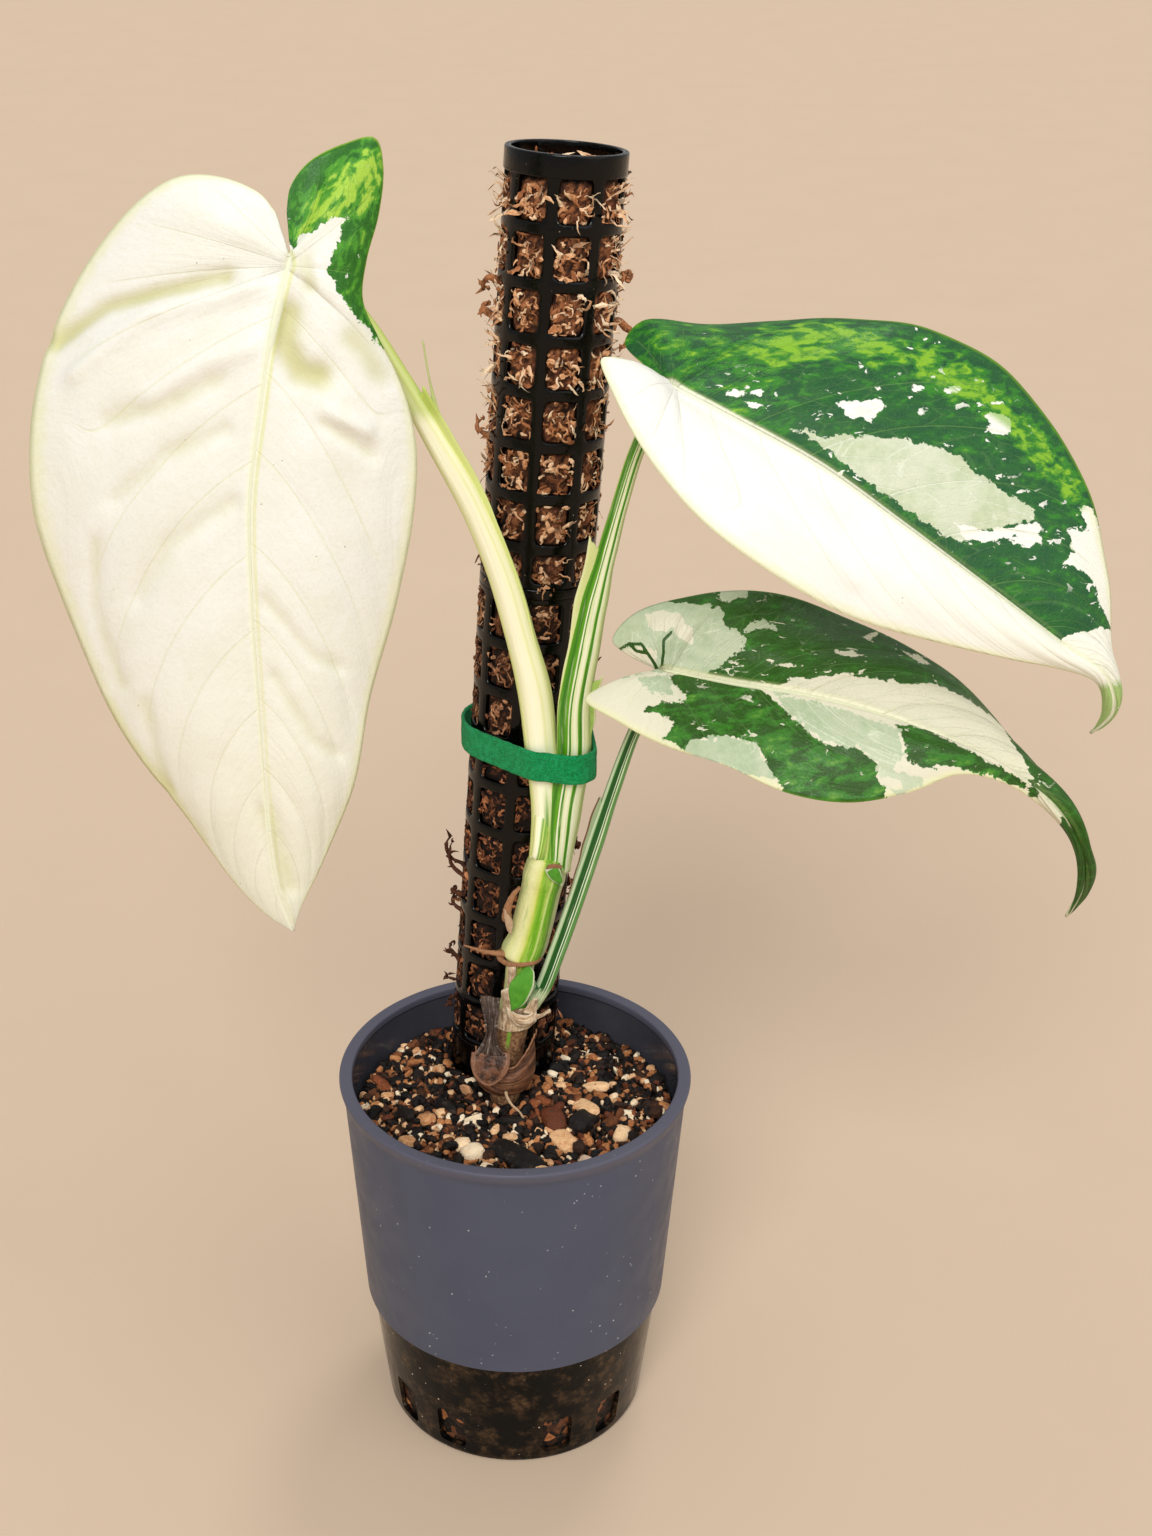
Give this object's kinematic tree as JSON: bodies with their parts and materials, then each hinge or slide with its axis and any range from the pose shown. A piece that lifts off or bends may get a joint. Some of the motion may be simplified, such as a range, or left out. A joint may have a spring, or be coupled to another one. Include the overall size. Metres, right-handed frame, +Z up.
{
  "type": "potted climbing aroid on a coir pole",
  "caption": "Climbing variegated aroid with large heart-shaped leaves, tied to a coir-filled mesh pole and standing in soil in a sleeved nursery pot.",
  "frame": {"origin": "middle of the pot's flat underside", "axes": "+Z up the pot and the pole, -Y to the front that the leaves face, +X to the right of that front"},
  "size_m": [0.3179, 0.12, 0.4419],
  "materials": {
    "pot_sleeve": "satin",
    "inner_pot": "smoky",
    "soil": "rough",
    "pole_mesh": "satin",
    "coir": "fibrous",
    "stem": "satin",
    "petiole_pale": "satin",
    "petiole_striped": "satin",
    "leaf_cream": "satin",
    "leaf_marbled": "satin",
    "dry_sheath": "papery",
    "torn_sheath": "papery",
    "tie": "felt"
  },
  "bodies": {
    "root": {"pot_sleeve": "pot_sleeve", "inner_pot": "inner_pot", "soil": "soil", "pole_mesh_lower": "pole_mesh", "pole_mesh_upper": "pole_mesh", "coir_core": "coir", "stem": "stem", "petiole_left": "petiole_pale", "petiole_upper": "petiole_striped", "petiole_lower": "petiole_striped", "leaf_left": "leaf_cream", "leaf_upper": "leaf_marbled", "leaf_lower": "leaf_marbled", "dry_sheath": "dry_sheath", "torn_sheath": "torn_sheath", "tie": "tie"}
  },
  "joints": []
}
